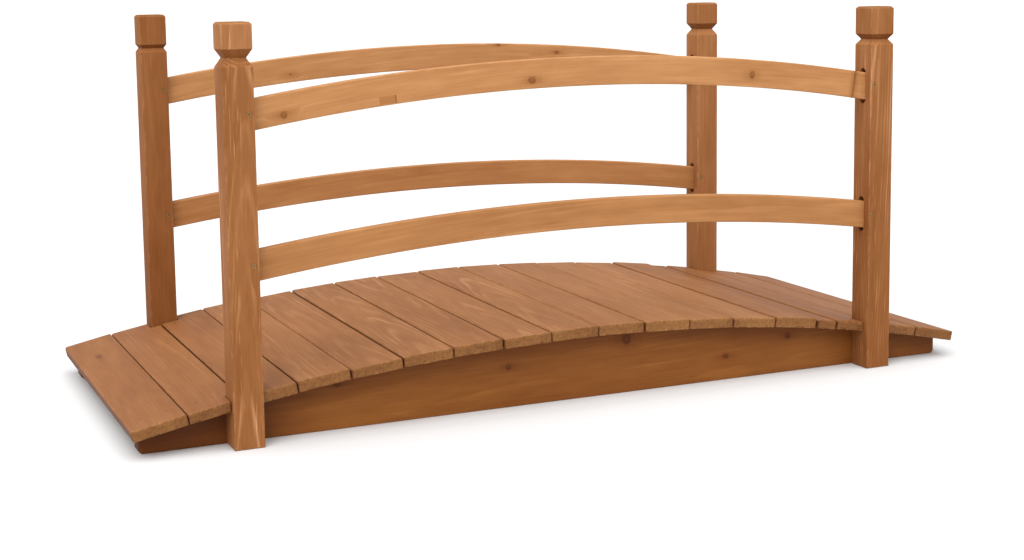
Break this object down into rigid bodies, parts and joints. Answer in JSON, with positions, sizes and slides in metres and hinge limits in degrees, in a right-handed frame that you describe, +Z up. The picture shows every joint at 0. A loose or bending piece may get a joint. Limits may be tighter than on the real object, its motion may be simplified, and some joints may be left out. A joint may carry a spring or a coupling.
{
  "type": "garden footbridge",
  "caption": "Low arched garden bridge of stained softwood, with a plank deck on two side beams and square corner posts joined by arched rails on both sides.",
  "frame": {"origin": "on the ground under the middle of the bridge", "axes": "+X along the bridge to the right end, +Y across it to the back side, +Z up"},
  "size_m": [1.3994, 0.6, 0.6],
  "materials": {
    "deck": "stained planed softwood",
    "beams": "stained planed softwood",
    "posts": "stained planed softwood",
    "rails": "stained planed softwood"
  },
  "bodies": {
    "root": {"beam_front": "beams", "beam_back": "beams", "post_front_left": "posts", "post_front_right": "posts", "post_back_left": "posts", "post_back_right": "posts", "rail_front_upper": "rails", "rail_front_lower": "rails", "rail_back_upper": "rails", "rail_back_lower": "rails", "plank_01": "deck", "plank_02": "deck", "plank_03": "deck", "plank_04": "deck", "plank_05": "deck", "plank_06": "deck", "plank_07": "deck", "plank_08": "deck", "plank_09": "deck", "plank_10": "deck", "plank_11": "deck", "plank_12": "deck", "plank_13": "deck", "plank_14": "deck", "plank_15": "deck", "plank_16": "deck", "plank_17": "deck", "plank_18": "deck"}
  },
  "joints": []
}
